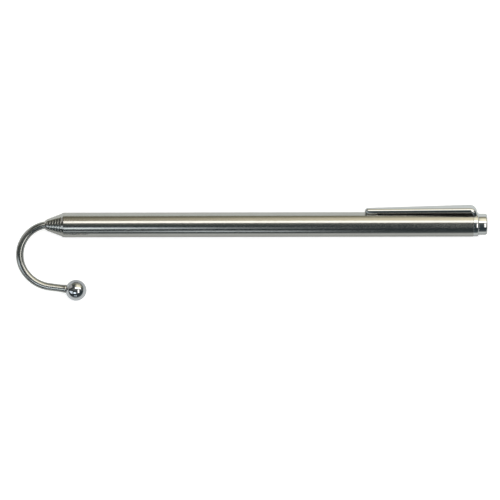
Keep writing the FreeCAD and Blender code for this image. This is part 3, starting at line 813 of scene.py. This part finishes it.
def make_channel():
    """The channel as an open sheet, still without thickness, in the clip's own upright frame."""
    bm = bmesh.new()
    start_section(bm)
    first = bm.verts[:] + bm.edges[:]
    first_verts = bm.verts[:]
    bmesh.ops.spin(bm, geom=first, axis=(0, 1, 0), cent=(bend_x, 0, bend_z), angle=math.pi / 2,
                   steps=BEND_STEPS)
    verts = first_verts
    was_x = bend_x
    for x in STATIONS:
        made = bmesh.ops.extrude_edge_only(bm, edges=edges_among(verts))["geom"]
        verts = [item for item in made if isinstance(item, bmesh.types.BMVert)]
        move_section(verts, x, was_x)
        was_x = x
    bmesh.ops.spin(bm, geom=verts + edges_among(verts), axis=(0, 0, 1), cent=(tip_centre_x, 0, 0),
                   angle=math.pi / 2, steps=TIP_STEPS)
    whole = bm.verts[:] + bm.edges[:] + bm.faces[:]
    bmesh.ops.mirror(bm, geom=whole, matrix=Matrix.Identity(4), merge_dist=DOUBLES, axis="Y")
    close_up(bm)
    return bm


channel = make_channel()
channel_top = max(channel.verts, key=lambda vert: vert.co.z)
if sum(face.normal.z for face in channel_top.link_faces) < 0:
    bmesh.ops.reverse_faces(channel, faces=channel.faces)
bmesh.ops.rotate(channel, verts=channel.verts, cent=(0, 0, 0),
                 matrix=Matrix.Rotation(CLIP_TURN, 3, "X"))
clip = finish_piece("clip_sheet", channel, "chrome_plate", "clip", ["pocket_clip"])
thickness = clip.modifiers.new("sheet thickness", "SOLIDIFY")
thickness.thickness = SHEET
thickness.offset = -1
# Solidify's inner faces take the darkened inside material: painted shade in the channel that the barrel
# mirrors.
clip.data.materials.append(finishes["pressed_inside"])
thickness.material_offset = 1
softened = clip.modifiers.new("soft edges", "BEVEL")
softened.width = EDGE_SOFTNESS
softened.segments = 2
softened.limit_method = "ANGLE"
softened.angle_limit = SHARP_ANGLE
weigh_normals(clip)

# %% [markdown]
# The tab that holds the clip is a flat tongue of the same sheet. It runs down the rear of the bend
# into the slot under the collar, so only a little of it shows from the tail.

# %% The clip's tab
TAB_WIDTH = 2.4 * MM
TAB_THICKNESS = 0.4 * MM
TAB_DEPTH = 0.75 * MM
TAB_OVERLAP = 0.4 * MM
TAB_EDGE = 0.06 * MM
tab_foot = collar_radius - TAB_DEPTH
tab_height = bend_z + TAB_OVERLAP - tab_foot
bm = bmesh.new()
bmesh.ops.create_cube(bm, size=1.0)
bmesh.ops.scale(bm, verts=bm.verts, vec=(TAB_THICKNESS, TAB_WIDTH, tab_height))
bmesh.ops.translate(bm, verts=bm.verts, vec=(CLIP_REAR - TAB_THICKNESS / 2, 0, tab_foot + tab_height / 2))
bmesh.ops.bevel(bm, geom=bm.edges[:], offset=TAB_EDGE, offset_type="OFFSET", segments=2, profile=0.5,
                affect="EDGES", material=-1)
bmesh.ops.rotate(bm, verts=bm.verts, cent=(0, 0, 0), matrix=Matrix.Rotation(CLIP_TURN, 3, "X"))
tab = finish_piece("clip_tab", bm, "chrome_plate", "clip", [])
weigh_normals(tab)

# %% [markdown]
# ## The room
# Bright metal has hardly any look of its own: it shows the room. A studio for small steel tools is a
# white table under a dark ceiling, with one long warm softbox on the far side and small cool lamps on
# the near side. Seen from above, a tube turns that room into stripes along its length. The angle of
# each light round the tube decides which stripe it makes. The table glows differently in reflections
# than it looks by itself, darker on the near side, where a real tool shades it.

# %% The floor
FLOOR_SIZE = 60.0
TABLE_REACH = 0.06
TABLE_GLOW = [(-60, 0.5), (-30, 0.6), (-22, 0.58), (-9, 0.44), (-3, 0.38), (2, 0.7), (60, 0.7)]
floor_height = cad_box[0].z
bm = bmesh.new()
bmesh.ops.create_grid(bm, x_segments=1, y_segments=1, size=FLOOR_SIZE / 2)
bmesh.ops.translate(bm, verts=bm.verts, vec=(0, 0, floor_height))
floor_mesh = bpy.data.meshes.new("floor")
bm.to_mesh(floor_mesh)
bm.free()
floor = bpy.data.objects.new("floor", floor_mesh)
bpy.context.scene.collection.objects.link(floor)
floor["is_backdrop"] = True

floor_paint = bpy.data.materials.new("pale table")
floor_paint.use_nodes = True
tree = floor_paint.node_tree
painted = tree.nodes["Principled BSDF"]
painted.inputs["Base Color"].default_value = (0.9, 0.9, 0.9, 1)
painted.inputs["Roughness"].default_value = 0.9
painted.inputs["Specular IOR Level"].default_value = 0.0
painted.inputs["Emission Color"].default_value = (1, 1, 1, 1)
painted.inputs["Emission Strength"].default_value = 0.55
bounce = add_node(tree, "ShaderNodeEmission")
place = add_node(tree, "ShaderNodeTexCoord")
split = add_node(tree, "ShaderNodeSeparateXYZ")
across = add_node(tree, "ShaderNodeMapRange")
across.inputs["From Min"].default_value = -TABLE_REACH
across.inputs["From Max"].default_value = TABLE_REACH
shade = add_node(tree, "ShaderNodeValToRGB")
stops = shade.color_ramp.elements
for _ in TABLE_GLOW[1:-1]:
    stops.new(0.5)
for element, (y, amount) in zip(stops, TABLE_GLOW):
    element.position = 0.5 + y * MM / (2 * TABLE_REACH)
    element.color = (0.96 * amount, amount, 0.98 * amount, 1)
tree.links.new(place.outputs["Object"], split.inputs["Vector"])
tree.links.new(split.outputs["Y"], across.inputs["Value"])
tree.links.new(across.outputs["Result"], shade.inputs["Fac"])
tree.links.new(shade.outputs["Color"], bounce.inputs["Color"])
path = add_node(tree, "ShaderNodeLightPath")
choice = add_node(tree, "ShaderNodeMixShader")
tree.links.new(path.outputs["Is Glossy Ray"], choice.inputs["Fac"])
tree.links.new(painted.outputs["BSDF"], choice.inputs[1])
tree.links.new(bounce.outputs["Emission"], choice.inputs[2])
tree.links.new(choice.outputs["Shader"], tree.nodes["Material Output"].inputs["Surface"])
floor_mesh.materials.append(floor_paint)
print("floor at", round(floor_height / MM, 2))

# %% [markdown]
# The walls and the ceiling are the world's colour. It depends on one angle: how far a direction is
# turned round the tube from straight up, positive towards the far side. A colour ramp holds it, so a
# change to one wall is a change to one number. Past the nose the room is darker still, which keeps the
# rod's outer side and one side of the ball deep. The camera itself sees a plain pale room.

# %% The walls
WALLS = [
    (-180, (0.4, 0.42, 0.42)), (-98, (0.36, 0.38, 0.38)), (-90, (0.16, 0.18, 0.18)),
    (-80, (0.07, 0.085, 0.09)), (-60, (0.035, 0.047, 0.05)), (-42, (0.03, 0.04, 0.045)),
    (-14, (0.048, 0.06, 0.064)), (-4, (0.07, 0.085, 0.085)),
    (6, (0.13, 0.14, 0.135)), (16, (0.22, 0.22, 0.2)), (24, (0.07, 0.08, 0.075)), (70, (0.07, 0.08, 0.075)),
    (77, (0.25, 0.245, 0.175)), (86, (0.2, 0.195, 0.14)), (91, (0.36, 0.36, 0.32)), (98, (0.6, 0.6, 0.57)),
    (180, (0.7, 0.7, 0.68)),
]
END_WALL = 0.35
END_DEEP = -0.8
END_EDGE = -0.3
world = bpy.data.worlds.new("studio")
bpy.context.scene.world = world
world.use_nodes = True
tree = world.node_tree
backdrop = tree.nodes["Background"]
seen = add_node(tree, "ShaderNodeBackground")
seen.inputs["Color"].default_value = (0.98, 0.98, 0.98, 1)
direction = add_node(tree, "ShaderNodeTexCoord")
split = add_node(tree, "ShaderNodeSeparateXYZ")
tree.links.new(direction.outputs["Generated"], split.inputs["Vector"])
turn = maths(tree, "ARCTAN2", split.outputs["Y"], split.outputs["Z"])
share = maths(tree, "MULTIPLY_ADD", turn, 1 / (2 * math.pi))
share.node.inputs[2].default_value = 0.5
ramp = add_node(tree, "ShaderNodeValToRGB")
tree.links.new(share, ramp.inputs["Fac"])
elements = ramp.color_ramp.elements
elements[0].position, elements[-1].position = 0.0, 1.0
for degrees, colour in WALLS[1:-1]:
    elements.new(degrees / 360 + 0.5)
for element, (degrees, colour) in zip(elements, WALLS):
    element.position = degrees / 360 + 0.5
    element.color = (*colour, 1)
tree.links.new(ramp.outputs["Color"], backdrop.inputs["Color"])
end_wall = add_node(tree, "ShaderNodeMapRange")
for socket, number in (("From Min", END_DEEP), ("From Max", END_EDGE), ("To Min", END_WALL), ("To Max", 1.0)):
    end_wall.inputs[socket].default_value = number
tree.links.new(split.outputs["X"], end_wall.inputs["Value"])
tree.links.new(end_wall.outputs["Result"], backdrop.inputs["Strength"])
path = add_node(tree, "ShaderNodeLightPath")
choice = add_node(tree, "ShaderNodeMixShader")
tree.links.new(path.outputs["Is Camera Ray"], choice.inputs["Fac"])
tree.links.new(backdrop.outputs["Background"], choice.inputs[1])
tree.links.new(seen.outputs["Background"], choice.inputs[2])
tree.links.new(choice.outputs["Shader"], tree.nodes["World Output"].inputs["Surface"])
print("wall colours", len(WALLS))

# %% [markdown]
# The lamps are glowing panels. Each stands on an imaginary drum round the tool's axis and is given by
# the angles and the length that it covers. A panel's glow fades from end to end with a ramp along X,
# as it does across a real softbox. The warm strips carry the long softbox's light down to the wall,
# dimmer step by step. The end lamp draws the bright line on the curved rod. The far lamps stand well
# past the nose: they only show in slanting views, where the tube would be black without them.

# %% The softboxes
DRUM_RADIUS = 0.6


def softbox(name, low_angle, high_angle, strength, colour, glow_along):
    """A glowing panel between two angles from straight up. glow_along is its glow at places along X."""
    left, right = glow_along[0][0] * MM, glow_along[-1][0] * MM
    bm = bmesh.new()
    bmesh.ops.create_grid(bm, x_segments=1, y_segments=8, size=0.5)
    low, high = math.radians(low_angle), math.radians(high_angle)
    for vert in bm.verts:
        angle = low + (vert.co.y + 0.5) * (high - low)
        vert.co = (left + (vert.co.x + 0.5) * (right - left), DRUM_RADIUS * math.sin(angle),
                   DRUM_RADIUS * math.cos(angle))
    mesh = bpy.data.meshes.new(name)
    bm.to_mesh(mesh)
    bm.free()
    panel = bpy.data.objects.new(name, mesh)
    bpy.context.scene.collection.objects.link(panel)
    panel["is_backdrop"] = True
    panel.visible_camera = False
    panel.visible_shadow = False
    paint = bpy.data.materials.new(name)
    paint.use_nodes = True
    tree = paint.node_tree
    tree.nodes.remove(tree.nodes["Principled BSDF"])
    glow = add_node(tree, "ShaderNodeEmission")
    place = add_node(tree, "ShaderNodeTexCoord")
    split = add_node(tree, "ShaderNodeSeparateXYZ")
    span_x = add_node(tree, "ShaderNodeMapRange")
    span_x.inputs["From Min"].default_value = left
    span_x.inputs["From Max"].default_value = right
    fade = add_node(tree, "ShaderNodeValToRGB")
    shares = fade.color_ramp.elements
    for _ in glow_along[1:-1]:
        shares.new(0.5)
    for element, (x, amount) in zip(shares, glow_along):
        element.position = (x * MM - left) / (right - left)
        element.color = (*(amount * part for part in colour), 1)
    tree.links.new(place.outputs["Object"], split.inputs["Vector"])
    tree.links.new(split.outputs["X"], span_x.inputs["Value"])
    tree.links.new(span_x.outputs["Result"], fade.inputs["Fac"])
    tree.links.new(fade.outputs["Color"], glow.inputs["Color"])
    glow.inputs["Strength"].default_value = strength
    tree.links.new(glow.outputs["Emission"], tree.nodes["Material Output"].inputs["Surface"])
    mesh.materials.append(paint)
    print("softbox", name, "from", low_angle, "to", high_angle, "degrees")
    return panel


WARM = (1.0, 0.98, 0.93)
TAN = (1.0, 0.93, 0.7)
COOL = (0.9, 1.0, 1.06)
softbox("long softbox", 16, 34.5, 1.9, WARM, [(-245, 0), (-225, 1), (700, 1), (800, 0)])
WARM_FADE = [
    (-245, 0.2), (-165, 0.33), (-82, 0.66), (-34, 0.85), (30, 1.05), (400, 1.05), (700, 0.7), (800, 0)]
softbox("warm strip high", 34.5, 56, 1.06, TAN, WARM_FADE)
softbox("warm strip middle", 56, 66, 0.85, TAN, WARM_FADE)
softbox("warm strip low", 66, 77, 0.45, TAN, WARM_FADE)
softbox("near lamp", -39.5, -25.5, 1.65, COOL, [
    (-420, 0), (-380, 1), (-165, 1), (-153, 0.85), (-141, 0.58), (-117, 0.32), (-93, 0.17), (-60, 0.08),
    (-30, 0.05)])
softbox("side lamp", -71, -58, 0.92, COOL, [
    (-300, 0.5), (-165, 0.6), (-141, 0.15), (-129, 0.5), (-105, 1), (-82, 0.85), (-62, 0.75), (-44, 0.1),
    (-30, 0.02)])
softbox("end lamp", -34, 7, 1.7, WARM, [(75, 0), (95, 1), (300, 1), (330, 0)])
softbox("far lamp", -50, -14, 0.9, COOL, [(-2000, 0), (-1800, 1), (-600, 1), (-500, 0)])
softbox("far fill", 36, 84, 0.4, WARM, [(-2000, 0), (-1800, 1), (-640, 1), (-520, 0)])

# %% [markdown]
# The table needs light of its own, or it would take the tint of the walls. A large square lamp
# overhead gives it, and a shadow with edges too soft to see. It is kept out of the reflections,
# where the ceiling has to stay dark.

# %% The overhead lamp
LAMP_SIZE = 2.5
LAMP_POWER = 26.0
overhead = bpy.data.lights.new("overhead", "AREA")
overhead.shape = "SQUARE"
overhead.size = LAMP_SIZE
overhead.energy = LAMP_POWER
lamp = bpy.data.objects.new("overhead", overhead)
lamp.location = (-0.08, 0.1, 1.8)
lamp.visible_glossy = False
lamp.visible_camera = False
bpy.context.scene.collection.objects.link(lamp)

# %% [markdown]
# ## The camera
# The tool is seen from straight above, with the tail on the right. A long lens far away keeps the
# tube's two edges parallel. The distance follows from the width that the frame should cover.

# %% The camera
FRAME_WIDTH = 500 / 3 * MM
LENS = 300.0
SENSOR = 36.0
VIEW_CENTRE = Vector((-79.04 * MM, -8.46 * MM, 0))
ROLL = math.radians(-0.1)
camera = bpy.data.objects.new("camera", bpy.data.cameras.new("camera"))
camera.data.lens = LENS
camera.data.sensor_width = SENSOR
camera.data.clip_start = 0.1
camera.data.clip_end = 100.0
camera.location = VIEW_CENTRE + Vector((0, 0, FRAME_WIDTH * LENS / SENSOR))
camera.rotation_euler = (0, 0, ROLL)
bpy.context.scene.collection.objects.link(camera)
bpy.context.scene.camera = camera
bpy.context.scene.view_settings.view_transform = "Standard"
print("camera height", round(camera.location.z, 3))

# %% [markdown]
# ## Sizes and the end
# The visual model must stay inside the frame's box, so both boxes are printed side by side.

# %% Sizes and the end
look_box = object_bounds()
for name, box in (("cad", cad_box), ("look", look_box)):
    print(name, [round(c / MM, 2) for c in box[0]], [round(c / MM, 2) for c in box[1]])
